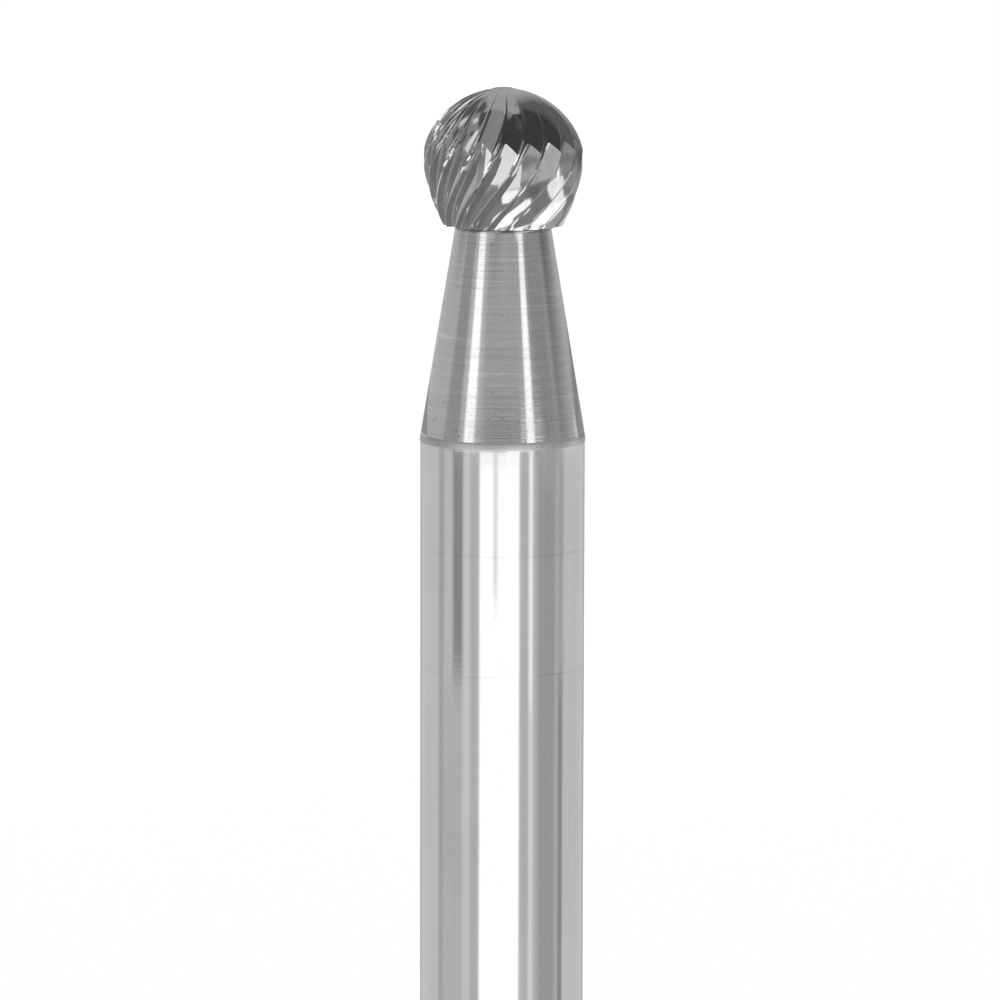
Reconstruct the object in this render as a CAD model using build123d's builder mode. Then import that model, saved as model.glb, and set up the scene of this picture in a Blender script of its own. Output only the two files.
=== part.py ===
"""Ball-nosed rotary burr, ground from one rod of tungsten carbide.

The burr stands on the flat end of its shank, with its axis along +Z and the
origin at the centre of that end. All lengths are millimetres.

From the bottom up it has a centreless-ground shank with a chamfered end, a
shoulder, a ground neck that narrows towards the head, and a fluted ball.
The ball is turned as a plain blank first: a flank that widens from the back
face to the belt, a dome above it, and a small crown in the middle of the dome.
Every tooth gap is then ground in two cuts, a deep one along the flank and a
shallow one up the dome, and they meet in a crease that slopes across the
tooth's back. Each cut is lofted through cross-sections that follow its own
part of the blank and turn a little further round the axis at each height.
What is left between two gaps is a tooth: a narrow land behind its cutting
edge, and a broad relief that falls away into the next gullet.
"""

import os
from math import asin, cos, radians, sin, sqrt

from build123d import *

# Shank and neck
overall_length = 38.0
shank_diameter = 3.0
shank_end_chamfer = 0.2
neck_length = 3.86
neck_top_diameter = 1.72
shoulder_blend_radius = 0.7
neck_root_radius = 0.06

# Ball blank
ball_diameter = 3.0
head_length = 2.48
belt_height = 1.30
back_face_diameter = 2.15
back_arc_radius = 3.3
crown_diameter = 0.5
crown_flat_diameter = 0.3
crown_height = 0.03

# Flutes
tooth_count = 20
flank_flute_depth = 0.17
dome_flute_depth = 0.07
flute_twist = 59.0
first_edge_angle = -124.0
dome_flute_lag = 3.5

# One flute across its pitch, from one cutting edge to the heel of the next tooth's land:
# share of the pitch, and share of the flute's depth below the blank
rake_foot = (0.03, 0.80)
gullet_bottom = (0.12, 1.00)
gullet_end = (0.22, 0.90)
land_heel = (0.92, 0.00)

# How far a cutter reaches past what it cuts: at its ends, and outside the blank as a share
# of the side that runs out there
cutter_overrun = 0.12
cutter_side_overrun = 0.5
flank_sections = 8
dome_sections = 10

# Heights and radii that follow
back_face_height = overall_length - head_length
shoulder_height = back_face_height - neck_length
belt = back_face_height + belt_height
crown_foot_height = overall_length - crown_height
shank_radius = shank_diameter / 2
ball_radius = ball_diameter / 2
crown_radius = crown_diameter / 2
crown_flat_radius = crown_flat_diameter / 2
back_face_radius = back_face_diameter / 2
neck_top_radius = neck_top_diameter / 2
back_face_ring_width = back_face_radius - neck_top_radius
ball_centre_height = crown_foot_height - sqrt(ball_radius**2 - crown_radius**2)
belt_radius = sqrt(ball_radius**2 - (belt - ball_centre_height) ** 2)


def back_arc_centre():
    """Radius and height of the centre of the arc that runs from the back face's rim up to the belt."""
    chord_radial = belt_radius - back_face_radius
    chord = sqrt(chord_radial**2 + belt_height**2)
    inward = sqrt(back_arc_radius**2 - (chord / 2) ** 2)
    middle_radius = (belt_radius + back_face_radius) / 2
    middle_height = back_face_height + belt_height / 2
    return (
        middle_radius - inward * belt_height / chord,
        middle_height + inward * chord_radial / chord,
    )


back_centre_radius, back_centre_height = back_arc_centre()


def dome_radius(height):
    """Radius of the ball at a height."""
    return sqrt(ball_radius**2 - (height - ball_centre_height) ** 2)


def flank_radius(height):
    """Radius of the flank at a height; above the belt it goes straight on."""
    if height > belt:
        slope = (back_centre_height - belt) / (belt_radius - back_centre_radius)
        return belt_radius + slope * (height - belt)
    return back_centre_radius + sqrt(back_arc_radius**2 - (height - back_centre_height) ** 2)


def crossing(lower, higher, excess):
    """Height between two others at which an excess, which only grows with height, passes zero."""
    for _ in range(40):
        middle = (lower + higher) / 2
        if excess(middle) < 0:
            lower = middle
        else:
            higher = middle
    return higher


def twist_at(height):
    """Angle that a flute has turned through between the back face and a height."""
    left = (overall_length - height) / head_length
    return flute_twist * (1 - left**2)


def flute_point(radius, depth, turned, shape):
    """Point of a flute's cross-section, where shape is its share of the pitch and of the depth."""
    pitch_share, depth_share = shape
    angle = radians(turned + pitch_share * 360 / tooth_count)
    reach = radius - depth_share * depth * radius / ball_radius
    return Vector(reach * cos(angle), reach * sin(angle))


def cutter(heights, blank_radius, depth, lag):
    """Solid that grinds one flute, lofted through a cross-section at each height."""
    with BuildPart() as made:
        for height in heights:
            radius = blank_radius(height)
            turned = first_edge_angle + twist_at(height) - lag
            edge = flute_point(radius, depth, turned, (0, 0))
            foot = flute_point(radius, depth, turned, rake_foot)
            bottom = flute_point(radius, depth, turned, gullet_bottom)
            end = flute_point(radius, depth, turned, gullet_end)
            heel = flute_point(radius, depth, turned, land_heel)
            with BuildSketch(Plane.XY.offset(height)):
                with BuildLine():
                    Polyline(
                        edge + (edge - foot) * cutter_side_overrun,
                        foot,
                        bottom,
                        end,
                        heel + (heel - end) * cutter_side_overrun,
                        close=True,
                    )
                make_face()
        loft()
    return made.part


# The flank's cutter runs on until it leaves the dome, the dome's cutter starts before it reaches the flank
flank_share = 1 - flank_flute_depth / ball_radius
dome_share = 1 - dome_flute_depth / ball_radius
flank_exit = crossing(belt, crown_foot_height, lambda h: flank_radius(h) * flank_share - dome_radius(h))
dome_entry = crossing(ball_centre_height, belt, lambda h: flank_radius(h) - dome_radius(h) * dome_share)

flank_bottom = back_face_height - cutter_overrun
flank_top = flank_exit + cutter_overrun
flank_rise = (flank_top - flank_bottom) / (flank_sections - 1)
flank_heights = [flank_bottom + flank_rise * step for step in range(flank_sections)]

first_turn = asin((dome_entry - cutter_overrun - ball_centre_height) / ball_radius)
last_turn = asin((crown_foot_height - ball_centre_height) / ball_radius)
turn_step = (last_turn - first_turn) / (dome_sections - 1)
dome_turns = [first_turn + turn_step * step for step in range(dome_sections)]
dome_heights = [ball_centre_height + ball_radius * sin(turn) for turn in dome_turns]

flank_cutter = cutter(flank_heights, flank_radius, flank_flute_depth, 0)
dome_cutter = cutter(dome_heights, dome_radius, dome_flute_depth, dome_flute_lag)

with BuildPart() as burr:
    with BuildSketch(Plane.XZ) as outline:
        with BuildLine():
            Polyline(
                (crown_radius, crown_foot_height),
                (crown_flat_radius, overall_length),
                (0, overall_length),
                (0, 0),
                (shank_radius, 0),
                (shank_radius, shoulder_height),
                (neck_top_radius, back_face_height),
                (back_face_radius, back_face_height),
            )
            RadiusArc((back_face_radius, back_face_height), (belt_radius, belt), -back_arc_radius)
            RadiusArc((belt_radius, belt), (crown_radius, crown_foot_height), -ball_radius)
        make_face()
        shank_end = outline.vertices().sort_by_distance((shank_radius, 0))[0]
        chamfer(shank_end, shank_end_chamfer)
        shoulder = outline.vertices().sort_by_distance((shank_radius, shoulder_height))[0]
        fillet(shoulder, shoulder_blend_radius)
        neck_root = outline.vertices().sort_by_distance((neck_top_radius, back_face_height))[0]
        fillet(neck_root, min(neck_root_radius, back_face_ring_width / 2))
    revolve(axis=Axis.Z)
    with PolarLocations(0, tooth_count):
        add(flank_cutter, mode=Mode.SUBTRACT)
        add(dome_cutter, mode=Mode.SUBTRACT)

burr.part.label = "burr"
os.makedirs("parts", exist_ok=True)
export_step(burr.part, "parts/burr.step")
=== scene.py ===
import math

import bpy
import numpy as np
from mathutils import Matrix, Vector


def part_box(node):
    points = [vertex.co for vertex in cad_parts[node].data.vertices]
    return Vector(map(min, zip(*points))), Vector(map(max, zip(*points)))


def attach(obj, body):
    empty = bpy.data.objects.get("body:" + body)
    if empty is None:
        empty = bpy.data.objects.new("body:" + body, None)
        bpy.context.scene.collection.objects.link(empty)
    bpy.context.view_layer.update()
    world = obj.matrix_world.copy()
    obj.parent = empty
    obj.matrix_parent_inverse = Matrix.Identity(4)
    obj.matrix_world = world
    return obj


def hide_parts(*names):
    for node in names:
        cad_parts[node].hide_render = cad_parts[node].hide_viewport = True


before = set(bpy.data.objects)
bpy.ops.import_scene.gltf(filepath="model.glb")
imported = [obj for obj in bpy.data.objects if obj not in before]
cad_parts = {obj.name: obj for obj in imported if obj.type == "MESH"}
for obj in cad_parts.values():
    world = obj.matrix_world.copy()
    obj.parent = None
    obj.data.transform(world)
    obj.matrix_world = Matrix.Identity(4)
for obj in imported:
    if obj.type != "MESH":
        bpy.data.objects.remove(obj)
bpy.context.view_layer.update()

# A carbide burr that stands on a pale floor. It is one mesh with four finishes, and a light tent, a ring
# card and three small cards, which only reflections see, give its polished metal something to mirror.

MM = 0.001

# The burr, as in its CAD model
shank_radius = 1.5 * MM
shank_end_chamfer = 0.2 * MM
neck_length = 3.86 * MM
neck_top_radius = 0.86 * MM
shoulder_blend_radius = 0.7 * MM
neck_root_radius = 0.06 * MM
ball_radius = 1.5 * MM
head_length = 2.48 * MM
belt_height = 1.30 * MM
back_face_radius = 1.075 * MM
back_arc_radius = 3.3 * MM
crown_radius = 0.25 * MM
crown_flat_radius = 0.15 * MM
crown_height = 0.03 * MM
overall_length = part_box("burr")[1].z

# Flutes: a deep cut along the flank and a shallow one up the dome, which lies a little behind it
tooth_count = 20
pitch = 2 * math.pi / tooth_count
flute_twist = math.radians(59)
first_edge_angle = math.radians(-124)
flank_depth = 0.17 * MM
dome_depth = 0.07 * MM
dome_lag_share = math.radians(3.5) / pitch

# One flute from one cutting edge to the next: share of the pitch, and share of the depth
cutting_edge = (0.00, 0.00)
rake_foot = (0.03, 0.80)
gullet_bottom = (0.12, 1.00)
gullet_end = (0.22, 0.90)
land_heel = (0.92, 0.00)
next_edge = (1.00, 0.00)
flute_shape = (cutting_edge, rake_foot, gullet_bottom, gullet_end, land_heel, next_edge)

# Steps of the mesh: across each stretch of a flute, up the flank, up the dome, and round the two blends
steps_across = (2, 3, 3, 9, 2)
flank_rows = 40
dome_rows = 50
shoulder_steps = 8
root_steps = 6

# How finely a crease is found, and how near two shares of the pitch are the same
crease_halvings = 40
share_digits = 5
share_tolerance = 0.001

# Rings along a straight run; the ones close to its ends keep the shading straight up to them
straight_shares = (0.0, 0.003, 0.25, 0.5, 0.75, 0.997)

# Faces that meet at a wider angle than this keep a sharp edge
smooth_angle = math.radians(11)

# Finishes of the mesh, in the order of its materials; the neck's begins just below the shoulder
SHANK, NECK, FLUTE, EDGE = range(4)
neck_finish_drop = 0.06 * MM

# Faint marks round the shank
ring_heights = (29.68 * MM, 27.49 * MM)

back_face_height = overall_length - head_length
shoulder_height = back_face_height - neck_length
belt = back_face_height + belt_height
flute_top = overall_length - crown_height
ball_centre = flute_top - math.sqrt(ball_radius**2 - crown_radius**2)
belt_radius = math.sqrt(ball_radius**2 - (belt - ball_centre) ** 2)


def back_arc_centre():
    """Radius and height of the centre of the arc from the back face's rim up to the belt."""
    chord_radial = belt_radius - back_face_radius
    chord = math.hypot(chord_radial, belt_height)
    inward = math.sqrt(back_arc_radius**2 - (chord / 2) ** 2)
    return (
        (belt_radius + back_face_radius) / 2 - inward * belt_height / chord,
        back_face_height + belt_height / 2 + inward * chord_radial / chord,
    )


back_centre_radius, back_centre_height = back_arc_centre()


def dome_radius(height):
    """Radius of the ball at a height."""
    return math.sqrt(max(ball_radius**2 - (height - ball_centre) ** 2, 0.0))


def flank_radius(height):
    """Radius of the flank's arc; above the belt it goes straight on."""
    if height > belt:
        slope = -(belt - back_centre_height) / (belt_radius - back_centre_radius)
        return belt_radius + slope * (height - belt)
    return back_centre_radius + math.sqrt(back_arc_radius**2 - (height - back_centre_height) ** 2)


def twist_at(height):
    """Angle that a flute has turned through between the back face and a height."""
    left = (overall_length - height) / head_length
    return flute_twist * (1 - left**2)


def depth_share(pitch_share):
    """How deep a flute is at a share of its pitch."""
    share = pitch_share % 1.0
    for (near, near_depth), (far, far_depth) in zip(flute_shape, flute_shape[1:]):
        if share <= far:
            return near_depth + (far_depth - near_depth) * (share - near) / (far - near)
    return 0.0


def flank_cut(height, share):
    """Radius that the deep cut leaves at a height and a share of the pitch."""
    return flank_radius(height) * (1 - depth_share(share) * flank_depth / ball_radius)


def dome_cut(height, share):
    """Radius that the shallow cut leaves at a height and a share of the pitch."""
    return dome_radius(height) * (1 - depth_share(share + dome_lag_share) * dome_depth / ball_radius)


def crease_height(share):
    """Height where the flank's cut meets the dome's cut."""
    low, high = ball_centre, flute_top
    for _ in range(crease_halvings):
        middle = (low + high) / 2
        if flank_cut(middle, share) < dome_cut(middle, share):
            low = middle
        else:
            high = middle
    return low


def column_shares():
    """Shares of the pitch where a column of points stands, close together where either cut turns."""
    shares = set()
    for (near, _), (far, _), steps in zip(flute_shape, flute_shape[1:], steps_across):
        for step in range(steps):
            share = near + (far - near) * step / steps
            shares.add(round(share, share_digits))
            shares.add(round((share - dome_lag_share) % 1.0, share_digits))
    return sorted(shares)


def head_point(row, share, crease, tooth):
    """Point of the head: rows count up the flank to the crease, and on up the dome to the crown."""
    if row <= flank_rows:
        height = back_face_height + (crease - back_face_height) * row / flank_rows
        radius = flank_cut(height, share)
    else:
        low = math.asin((crease - ball_centre) / ball_radius)
        high = math.asin((flute_top - ball_centre) / ball_radius)
        turn = low + (high - low) * (row - flank_rows) / dome_rows
        height = ball_centre + ball_radius * math.sin(turn)
        radius = dome_cut(height, share)
    angle = first_edge_angle + twist_at(height) + (tooth + share) * pitch
    return Vector((radius * math.cos(angle), radius * math.sin(angle), height))


def head_rings():
    """Rings of points up the head. They bend so that one of them runs along the crease."""
    shares = column_shares()
    creases = [crease_height(share) for share in shares]
    rings = []
    for row in range(flank_rows + dome_rows + 1):
        ring = []
        for tooth in range(tooth_count):
            for share, crease in zip(shares, creases):
                ring.append(head_point(row, share, crease, tooth))
        rings.append(ring)
    return rings


def plain_ring(radius, height, angles):
    return [Vector((radius * math.cos(a), radius * math.sin(a), height)) for a in angles]


def angles_of(ring):
    return [math.atan2(point.y, point.x) for point in ring]


def stem_profile():
    """Radius and height up the shank, the shoulder, the neck and its root."""
    slope = math.atan2(shank_radius - neck_top_radius, neck_length)
    shank_top = shoulder_height - shoulder_blend_radius * math.tan(slope / 2)
    root_reach = neck_root_radius * math.tan((math.pi / 2 - slope) / 2)
    root_radius = neck_top_radius + root_reach * math.sin(slope)
    root_height = back_face_height - root_reach * math.cos(slope)

    points = [(shank_radius - shank_end_chamfer, 0.0)]
    for share in straight_shares:
        points.append((shank_radius, shank_end_chamfer + (shank_top - shank_end_chamfer) * share))
    for step in range(shoulder_steps + 1):
        turn = slope * step / shoulder_steps
        points.append((
            shank_radius - shoulder_blend_radius * (1 - math.cos(turn)),
            shank_top + shoulder_blend_radius * math.sin(turn),
        ))
    cone_foot = points[-1]
    for share in straight_shares[1:] + (1.0,):
        points.append((
            cone_foot[0] + (root_radius - cone_foot[0]) * share,
            cone_foot[1] + (root_height - cone_foot[1]) * share,
        ))
    centre_radius = root_radius + neck_root_radius * math.cos(slope)
    centre_height = root_height + neck_root_radius * math.sin(slope)
    for step in range(1, root_steps + 1):
        turn = math.pi + slope - (math.pi / 2 + slope) * step / root_steps
        points.append((
            centre_radius + neck_root_radius * math.cos(turn),
            centre_height + neck_root_radius * math.sin(turn),
        ))
    return points


def on_land(head_row, share):
    """Whether a face this many rows up the head, at this share of the pitch, is on a cutting edge."""
    if head_row >= flank_rows:
        share = (share + dome_lag_share) % 1.0
    return 0 <= head_row < flank_rows + dome_rows and share > land_heel[0] - share_tolerance


def finish_at(height, head_row, share):
    """Finish of a face by the height it starts at, its row up the head and its share of the pitch."""
    if on_land(head_row, share):
        return EDGE
    if head_row >= -1:
        return FLUTE
    return NECK if height > shoulder_height - neck_finish_drop else SHANK


def burr_mesh():
    """The whole burr: rings up the stem and the head, joined by quads, with a face at each end."""
    head = head_rings()
    stem = [plain_ring(radius, height, angles_of(head[0])) for radius, height in stem_profile()]
    crown = plain_ring(crown_flat_radius, overall_length, angles_of(head[-1]))
    rings = stem + head + [crown]
    count = len(crown)
    shares = column_shares()
    faces = []
    finishes = []
    for row, ring in enumerate(rings[:-1]):
        for i in range(count):
            j = (i + 1) % count
            below = row * count
            above = below + count
            faces.append((below + i, below + j, above + j, above + i))
            finishes.append(finish_at(ring[0].z, row - len(stem), shares[i % len(shares)]))
    vertices = [tuple(point) for ring in rings for point in ring]
    faces.append(tuple(reversed(range(count))))
    finishes.append(SHANK)
    faces.append(tuple(range(len(vertices) - count, len(vertices))))
    finishes.append(FLUTE)

    made = bpy.data.meshes.new("burr_body")
    made.from_pydata(vertices, [], faces)
    made.polygons.foreach_set("material_index", finishes)
    made.update()
    made.shade_smooth()
    made.set_sharp_from_angle(angle=smooth_angle)
    return made


def new_material(name):
    material = bpy.data.materials.new(name)
    material.use_nodes = True
    return material, material.node_tree


def add_node(tree, kind, inputs=None, **settings):
    """A node with its settings, and with each named input set or linked."""
    made = tree.nodes.new(kind)
    for key, value in settings.items():
        setattr(made, key, value)
    for key, value in (inputs or {}).items():
        if isinstance(value, bpy.types.NodeSocket):
            tree.links.new(value, made.inputs[key])
        else:
            made.inputs[key].default_value = value
    return made


def noise(tree, across, along, detail=2.0, roughness=0.5):
    """Noise with this many waves per metre across the burr's axis and along it."""
    place = add_node(tree, "ShaderNodeTexCoord").outputs["Object"]
    stretched = add_node(tree, "ShaderNodeMapping", {"Vector": place, "Scale": (across, across, along)})
    pattern = add_node(tree, "ShaderNodeTexNoise", {
        "Vector": stretched.outputs["Vector"],
        "Scale": 1.0,
        "Detail": detail,
        "Roughness": roughness,
    })
    return pattern.outputs["Fac"]


def remap(tree, value, old, new):
    """A value moved from one span to another, and held within it."""
    ranged = add_node(tree, "ShaderNodeMapRange", {
        "Value": value,
        "From Min": old[0],
        "From Max": old[1],
        "To Min": new[0],
        "To Max": new[1],
    })
    return ranged.outputs["Result"]


def combine(tree, operation, first, *others):
    """A value worked on by each of the others in turn."""
    result = first
    for other in others:
        made = add_node(tree, "ShaderNodeMath", {0: result, 1: other}, operation=operation)
        result = made.outputs["Value"]
    return result


def height_above(tree, base):
    place = add_node(tree, "ShaderNodeTexCoord").outputs["Object"]
    split = add_node(tree, "ShaderNodeSeparateXYZ", {"Vector": place})
    return combine(tree, "SUBTRACT", split.outputs["Z"], base)


def ring_mark(tree, height, width, wobble):
    """1 on a thin ring round the burr at a height, fading to 0 beside it."""
    away = combine(tree, "ABSOLUTE", combine(tree, "ADD", height_above(tree, height), wobble), 0.0)
    return remap(tree, away, (0.0, width), (1.0, 0.0))


def finish_metal(tree, grey, roughness, bump_height, bump_distance):
    """Bare metal from a brightness, a roughness and a bump height."""
    shader = tree.nodes["Principled BSDF"]
    shader.inputs["Metallic"].default_value = 1.0
    colour = add_node(tree, "ShaderNodeCombineColor", {"Red": grey, "Green": grey, "Blue": grey})
    bump = add_node(tree, "ShaderNodeBump", {"Height": bump_height, "Distance": bump_distance})
    tree.links.new(colour.outputs["Color"], shader.inputs["Base Color"])
    tree.links.new(roughness, shader.inputs["Roughness"])
    tree.links.new(bump.outputs["Normal"], shader.inputs["Normal"])


def shank_material():
    """Polished bar: clouding, lengthwise haze, fine rubs, two faint ring marks and small specks."""
    material, tree = new_material("polished_shank")
    clouds = remap(tree, noise(tree, across=900, along=350, detail=3.0), (0.3, 0.7), (0.62, 0.665))
    haze = remap(tree, noise(tree, across=9000, along=260), (0.35, 0.65), (-0.012, 0.012))
    grain = remap(tree, noise(tree, across=26000, along=26000, detail=1.0), (0.3, 0.7), (-0.014, 0.014))
    grey = combine(tree, "ADD", clouds, haze, grain)

    drift = noise(tree, across=700, along=700, detail=1.0)
    wobble = remap(tree, drift, (0.0, 1.0), (-0.05 * MM, 0.05 * MM))
    broken = remap(tree, noise(tree, across=1500, along=1500), (0.35, 0.6), (0.0, 1.0))
    for height in ring_heights:
        mark = ring_mark(tree, height, 0.035 * MM, wobble)
        grey = combine(tree, "SUBTRACT", grey, combine(tree, "MULTIPLY", mark, broken, 0.07))
    specks = remap(tree, noise(tree, across=21000, along=21000, detail=1.0), (0.72, 0.80), (0.0, 0.12))
    grey = combine(tree, "SUBTRACT", grey, specks)

    roughness = remap(tree, noise(tree, across=1300, along=500, detail=3.0), (0.3, 0.7), (0.04, 0.07))
    rubs = combine(tree, "ADD", noise(tree, across=12000, along=400), noise(tree, across=400, along=9000))
    finish_metal(tree, grey, roughness, rubs, 0.0004 * MM)
    return material


def neck_material():
    """Ground cone: fine lines round it, a few stronger ones, pits low down, and painted shade in the
    corner under the head on top.
    """
    material, tree = new_material("ground_neck")
    lines = noise(tree, across=260, along=17000, detail=3.0, roughness=0.7)
    fine = remap(tree, lines, (0.3, 0.7), (0.60, 0.69))
    bold = remap(tree, noise(tree, across=420, along=9500, detail=1.0), (0.66, 0.74), (0.0, 0.10))
    grain = remap(tree, noise(tree, across=24000, along=24000, detail=1.0), (0.3, 0.7), (-0.02, 0.02))
    grey = combine(tree, "ADD", fine, bold, grain)

    low_down = remap(tree, height_above(tree, shoulder_height), (0.1 * MM, 1.6 * MM), (1.0, 0.35))
    pits = remap(tree, noise(tree, across=14000, along=14000, detail=1.0), (0.64, 0.76), (0.0, 0.24))
    grey = combine(tree, "SUBTRACT", grey, combine(tree, "MULTIPLY", pits, low_down))
    # Painted shade: the neck's grey falls to 0.35 of itself over its top 0.09 mm, in the corner under the
    # head
    corner = remap(tree, height_above(tree, back_face_height), (-0.09 * MM, -0.03 * MM), (1.0, 0.35))
    grey = combine(tree, "MULTIPLY", grey, corner)

    ground = remap(tree, noise(tree, across=500, along=12000), (0.3, 0.7), (0.05, 0.10))
    matt_blend = remap(tree, height_above(tree, shoulder_height), (0.05 * MM, 0.09 * MM), (0.30, 0.0))
    roughness = combine(tree, "ADD", ground, matt_blend)
    finish_metal(tree, grey, roughness, lines, 0.0006 * MM)
    return material


def tooth_material(name, grey_span, roughness_span):
    """Ground tooth: fine lines left by the wheel, clouding and small dark marks."""
    material, tree = new_material(name)
    clouds = remap(tree, noise(tree, across=1600, along=1600, detail=3.0), (0.3, 0.7), grey_span)
    lines = remap(tree, noise(tree, across=9000, along=3000), (0.3, 0.7), (-0.035, 0.035))
    marks = remap(tree, noise(tree, across=9000, along=9000, detail=1.0), (0.70, 0.80), (0.0, 0.12))
    grey = combine(tree, "SUBTRACT", combine(tree, "ADD", clouds, lines), marks)
    roughness = remap(tree, noise(tree, across=3000, along=3000), (0.3, 0.7), roughness_span)
    finish_metal(tree, grey, roughness, noise(tree, across=7000, along=2500), 0.00015 * MM)
    return material


mesh = burr_mesh()
body = bpy.data.objects.new("burr_body", mesh)
bpy.context.scene.collection.objects.link(body)
mesh.materials.append(shank_material())
mesh.materials.append(neck_material())
mesh.materials.append(tooth_material("ground_flutes", (0.60, 0.66), (0.035, 0.06)))
# The cutting edges take the tooth finish, rougher and in a lighter grey; the rougher finish is the lands'
# own, and the lighter grey is painted highlight along them
mesh.materials.append(tooth_material("cutting_edges_painted_highlight", (0.70, 0.78), (0.12, 0.20)))
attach(body, "root")
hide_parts("burr")

# Light tent round the head that only reflections see: a ball, wider above than below, cut off flat just
# above the floor. It widens between two elevations, and its mesh has a point at each degree.
tent_radius = (36 * MM, 150 * MM)
tent_widens = (-6, 6)
tent_height = 36.8 * MM
tent_floor = 0.05 * MM
tent_wall_level = 0.29
tent_azimuths = np.arange(0, 360)
tent_elevations = np.arange(-87.5, 90)

# Dark ring card just above the shoulder, so that the teeth do not mirror the table in front
ring_card_radius = (1.6 * MM, 12 * MM)
ring_card_height = 0.1 * MM
ring_card_level = 0.36
ring_card_azimuths = np.arange(0, 360, 5)

# Light cards bent round the ball, above what the neck sees: azimuths, heights, brightness
near_card_radius = 9 * MM
near_card_columns = 16
near_cards = (
    (-71, -20, 37.3 * MM, 38.8 * MM, 1.12),
    (27, 52, 37.2 * MM, 37.7 * MM, 1.25),
    (8, 42, 37.75 * MM, 38.75 * MM, 0.62),
)


def span(left, right, lowest, highest):
    """Outline of a panel between two azimuths and two elevations."""
    return ((left, lowest), (right, lowest), (right, highest), (left, highest))


def mirror(corners):
    """Corners on the other side of azimuth 0, in the order that goes on round an outline."""
    return tuple((-azimuth, elevation) for azimuth, elevation in reversed(corners))


# Panels of the tent. Each has the corners of its outline, the softness of its edge in degrees and its
# brightness. A corner is an azimuth, from the camera's side towards +X, and an elevation, in degrees,
# seen from the ball's centre. Up and down, an edge is softened this much less.
upright_sharpness = 3

# Table in front, seen by the shank
table_panels = (
    (span(-180, 180, -90, -15.2), 2, 0.74),
    (span(-98, -87, -90, -15.2), 5, 0.54),
    (span(-87, -57, -90, -15.2), 5, 0.64),
    (span(-85, -73, -24, -15.2), 5, 0.74),
    (span(-71, -56, -24, -15.2), 5, 0.35),
    (span(-54, -46, -90, -15.2), 5, 0.82),
    (span(-44, -34, -90, -15.2), 5, 0.62),
    (span(26, 37, -90, -15.2), 5, 0.64),
    (span(37, 43, -90, -15.2), 5, 0.98),
    (span(37, 42, -25, -15.2), 5, 1.30),
    (span(43, 48, -90, -15.2), 4, 0.78),
    (span(48, 80, -90, -15.2), 12, 0.47),
    (span(83, 92, -90, -24), 4, 0.38),
    (span(83, 93, -24, -15.2), 6, 0.52),
    (span(-31, 23, -90, -15.2), 4, 1.60),
    (span(-12, -7, -21, -15.2), 5, 1.00),
    (span(150, 210, -90, -15.2), 5, 0.55),
    (span(166, 194, -90, -15.2), 4, 1.50),
)

# Low wall with its white bands, seen by the lower half of the flutes
left_band = (
    (-66, -14.9), (-32, -14.9), (-32, -9), (-4, -1), (-6, 3), (-14, 3), (-46, -4), (-66, -9), (-72, -13),
)
right_band = (
    (6, -14.9), (43, -14.9), (44, -12), (57, -9), (86, -1), (78, 0), (38, 1), (22, -4), (6, -11),
)
low_wall_panels = (
    (span(46, 80, -15.2, 0), 6, 0.48),
    (left_band, 3, 1.55),
    (right_band, 3, 1.55),
    (((90, -15.2), (130, -15.2), (130, -6.5), (118, -6.5), (96, -12)), 6, 0.95),
)

# Wall behind the camera, seen by the upper half of the flutes
wall_panels = (
    (((-52, 0), (-40, 0), (-30, 3), (-23, 6.5), (-58, 6.5)), 3, 1.45),
    (((36, 0), (66, 0), (62, 5), (52, 8), (27, 8), (25, 7), (30, 3)), 4, 1.35),
    (span(-12, 8, 3.5, 8.5), 8, 0.20),
    (span(2, 34, 12.6, 14), 8, 0.56),
)

# Arc on the wall that the neck sees, on round to its far ends, with two narrow strips
neck_arc_side = (
    (26, 8.5), (52, 7.0), (66, 5.9), (82, 2.8), (99, 0), (96, 6.5), (69, 9.4), (45, 11.3), (23, 12.3),
)
neck_arc = ((0, 8.8), *neck_arc_side, (0, 12.7), *mirror(neck_arc_side))
left_arc_end = (
    (-170, -14.5), (-128, -10.5), (-104, -1), (-94, 1), (-94, 6.6), (-112, 3.8), (-134, 1.4), (-170, -3),
)
right_arc_end = (
    (170, -9), (128, -7), (104, -1), (94, 1), (94, 6.6), (112, 3.8), (134, 1.4), (170, -3),
)
arc_panels = (
    (neck_arc, 1, 0.52),
    (left_arc_end, 3, 0.58),
    (right_arc_end, 3, 0.52),
    (((-90, 3.0), (-66, 5.8), (-66, 9.6), (-90, 7.2)), 6, 0.39),
    (((51, 7.0), (84, 3.6), (84, 7.8), (51, 10.9)), 8, 0.34),
    (((-64, 6.0), (-34, 8.2), (-34, 11.9), (-64, 9.8)), 8, 0.72),
    (((-56, 6.6), (-41, 7.8), (-41, 11.6), (-56, 10.5)), 4, 1.65),
    (((35, 8.1), (46, 7.4), (46, 11.3), (35, 11.9)), 4, 1.55),
)

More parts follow.
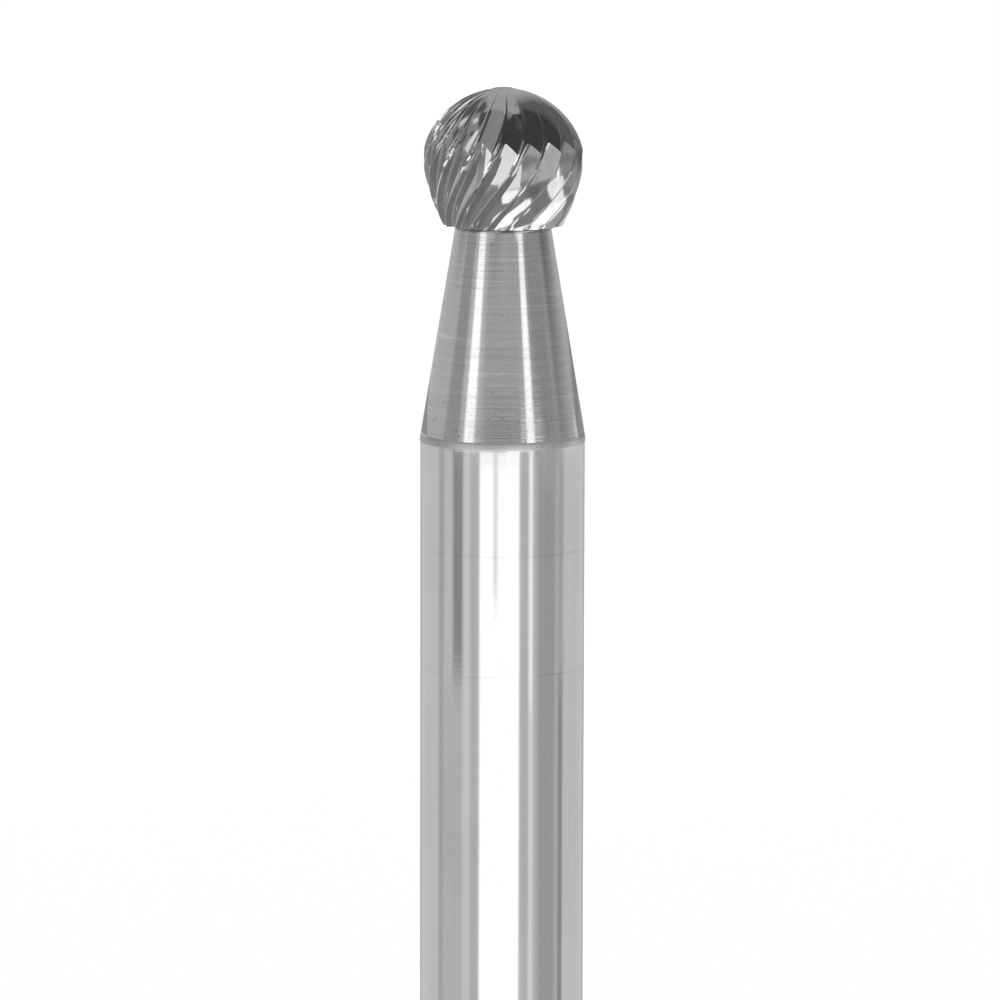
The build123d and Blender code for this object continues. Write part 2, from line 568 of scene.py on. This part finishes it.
# Roof, seen by the dome
dark_roof = ((-34, 90), (-34, 30), (60, 24), (128, 24), (150, 60), (150, 78), (60, 90))
roof_panels = (
    (span(-180, 180, 14, 90), 3, 0.34),
    (span(125, 230, 14, 90), 20, 0.47),
    (dark_roof, 12, 0.065),
    (((93, 3), (128, 3), (160, 24), (165, 72), (128, 76), (93, 24)), 24, 0.15),
    (((5, 66), (32, 66), (32, 90), (5, 90)), 14, 0.11),
    (((-168, 33), (-130, 33), (-126, 57), (-142, 57), (-152, 50)), 6, 0.13),
    (((-126, 55), (-92, 52), (-86, 62), (-124, 67)), 6, 0.11),
    (span(-97, -88, 40, 45), 4, 0.14),
    (span(-126, -98, 27, 38), 5, 0.15),
    (span(-155, -146, 16, 25), 4, 0.10),
    (span(-89, -76, 15, 50), 5, 1.05),
    (span(-116, -107, 47, 53), 5, 0.90),
    (span(-131, -122, 34, 43), 5, 0.90),
    (span(-166, -156, 14, 26), 5, 0.90),
)

tent_panels = table_panels + low_wall_panels + wall_panels + arc_panels + roof_panels


def panel_cover(azimuth, elevation, corners, softness):
    """How much of a panel lies over each direction: 1 well inside its outline, 0 well outside."""
    middle = sum(corner[0] for corner in corners) / len(corners)
    across = (azimuth - middle + 180) % 360 - 180 + middle
    nearest = np.full(azimuth.shape, np.inf)
    inside = np.zeros(azimuth.shape, dtype=bool)
    for (x0, y0), (x1, y1) in zip(corners, corners[1:] + corners[:1]):
        run = x1 - x0
        rise = (y1 - y0) * upright_sharpness
        from_x = across - x0
        from_y = (elevation - y0) * upright_sharpness
        along = np.clip((from_x * run + from_y * rise) / (run**2 + rise**2), 0, 1)
        nearest = np.minimum(nearest, np.hypot(from_x - along * run, from_y - along * rise))
        if y0 != y1:
            crosses = (elevation >= min(y0, y1)) & (elevation < max(y0, y1))
            inside ^= crosses & (from_x < run * (elevation - y0) / (y1 - y0))
    return np.clip(np.where(inside, nearest, -nearest) / softness + 0.5, 0, 1)


def tent_levels(azimuth, elevation):
    """Brightness of the tent: every panel is painted over the ones before it."""
    level = np.full(azimuth.shape, tent_wall_level)
    for corners, softness, brightness in tent_panels:
        level += (brightness - level) * panel_cover(azimuth, elevation, corners, softness)
    return level


def glow_material():
    """Emission as strong as the mesh's level attribute says."""
    material, tree = new_material("glow")
    tree.nodes.clear()
    level = add_node(tree, "ShaderNodeAttribute", attribute_name="level")
    emission = add_node(tree, "ShaderNodeEmission", {"Strength": level.outputs["Fac"]})
    add_node(tree, "ShaderNodeOutputMaterial", {"Surface": emission.outputs["Emission"]})
    material.cycles.emission_sampling = "NONE"
    return material


def points_round(radius, azimuth, height):
    """Points at an azimuth from the camera's side towards +X, in radians."""
    return np.stack([radius * np.sin(azimuth), -radius * np.cos(azimuth), height], axis=-1)


def reflector(name, points, levels, material, closed=True):
    """A glowing mesh that only reflections see, from rows of points that close into rings or stay open."""
    rows, across = levels.shape
    faces = []
    for row in range(rows - 1):
        for i in range(across if closed else across - 1):
            j = (i + 1) % across
            below = row * across
            above = below + across
            faces.append((below + i, below + j, above + j, above + i))
    made = bpy.data.meshes.new(name)
    made.from_pydata(points.reshape(-1, 3).tolist(), [], faces)
    attribute = made.attributes.new("level", "FLOAT", "POINT")
    attribute.data.foreach_set("value", levels.ravel())
    made.materials.append(material)

    placed = bpy.data.objects.new(name, made)
    bpy.context.scene.collection.objects.link(placed)
    placed.visible_camera = False
    placed.visible_diffuse = False
    placed.visible_shadow = False


def make_tent(glow):
    """The ball of the tent; below, each direction is cut off where it comes down to the tent's floor."""
    azimuth, elevation = np.meshgrid(np.radians(tent_azimuths), np.radians(tent_elevations))
    reach = np.interp(np.degrees(elevation), tent_widens, tent_radius)
    falls = -np.sin(elevation)
    to_floor = np.full(reach.shape, np.inf)
    np.divide(tent_height - tent_floor, falls, out=to_floor, where=falls > 0)
    reach = np.minimum(reach, to_floor)
    points = points_round(reach * np.cos(elevation), azimuth, tent_height + reach * np.sin(elevation))
    reflector("tent", points, tent_levels(np.degrees(azimuth), np.degrees(elevation)), glow)


def make_ring_card(glow):
    """Flat ring round the neck."""
    azimuth, radius = np.meshgrid(np.radians(ring_card_azimuths), ring_card_radius)
    height = np.full(radius.shape, shoulder_height + ring_card_height)
    points = points_round(radius, azimuth, height)
    reflector("ring_card", points, np.full(radius.shape, ring_card_level), glow)


def make_near_card(glow, left, right, lowest, highest, brightness):
    """Upright strip bent round the ball."""
    azimuths = np.radians(np.linspace(left, right, near_card_columns))
    azimuth, height = np.meshgrid(azimuths, (lowest, highest))
    points = points_round(near_card_radius, azimuth, height)
    reflector("near_card", points, np.full(height.shape, brightness), glow, closed=False)


glow = glow_material()
make_tent(glow)
make_ring_card(glow)
for card in near_cards:
    make_near_card(glow, *card)

# Camera, a little above the burr's head and looking down at it
camera_distance = 120 * MM
camera_elevation = math.radians(8.2)
camera_target = Vector((-0.045 * MM, 0, 30.505 * MM))
camera_roll = math.radians(0.14)

camera_data = bpy.data.cameras.new("camera")
camera_data.sensor_width = 36
camera_data.lens = 238
camera_data.clip_start = 0.01
camera_data.clip_end = 10
camera = bpy.data.objects.new("camera", camera_data)
bpy.context.scene.collection.objects.link(camera)
bpy.context.scene.camera = camera
offset = Vector((0, -math.cos(camera_elevation), math.sin(camera_elevation))) * camera_distance
camera.matrix_world = (
    Matrix.Translation(camera_target + offset)
    @ (-offset).to_track_quat("-Z", "Y").to_matrix().to_4x4()
    @ Matrix.Rotation(camera_roll, 4, "Z")
)

# Pale floor
bpy.ops.mesh.primitive_plane_add(size=4)
floor = bpy.context.object
floor.name = "floor"
floor_material, floor_tree = new_material("floor")
floor_shader = floor_tree.nodes["Principled BSDF"]
floor_shader.inputs["Base Color"].default_value = (0.95, 0.95, 0.95, 1)
floor_shader.inputs["Roughness"].default_value = 0.9
floor.data.materials.append(floor_material)

# Soft sun for the shadow on the floor; the metal does not mirror it
sun_data = bpy.data.lights.new("sun", "SUN")
sun_data.energy = 1.0
sun_data.angle = math.radians(20)
sun = bpy.data.objects.new("sun", sun_data)
bpy.context.scene.collection.objects.link(sun)
sun.rotation_euler = (math.radians(32), 0, math.radians(-35))
sun.visible_glossy = False

# Surroundings: full white where they are seen, straight, mirrored or through something, and dimmer as
# light on the floor
light_strength = 0.8
seen_strength = 1.0

world = bpy.data.worlds.new("world")
bpy.context.scene.world = world
world.use_nodes = True
world_tree = world.node_tree
background = world_tree.nodes["Background"]
background.inputs["Color"].default_value = (1, 1, 1, 1)
rays = add_node(world_tree, "ShaderNodeLightPath").outputs
seen = combine(
    world_tree, "MAXIMUM", rays["Is Camera Ray"], rays["Is Glossy Ray"], rays["Is Transmission Ray"]
)
strength = remap(world_tree, seen, (0.0, 1.0), (light_strength, seen_strength))
world_tree.links.new(strength, background.inputs["Strength"])

bpy.context.scene.view_settings.view_transform = "Standard"
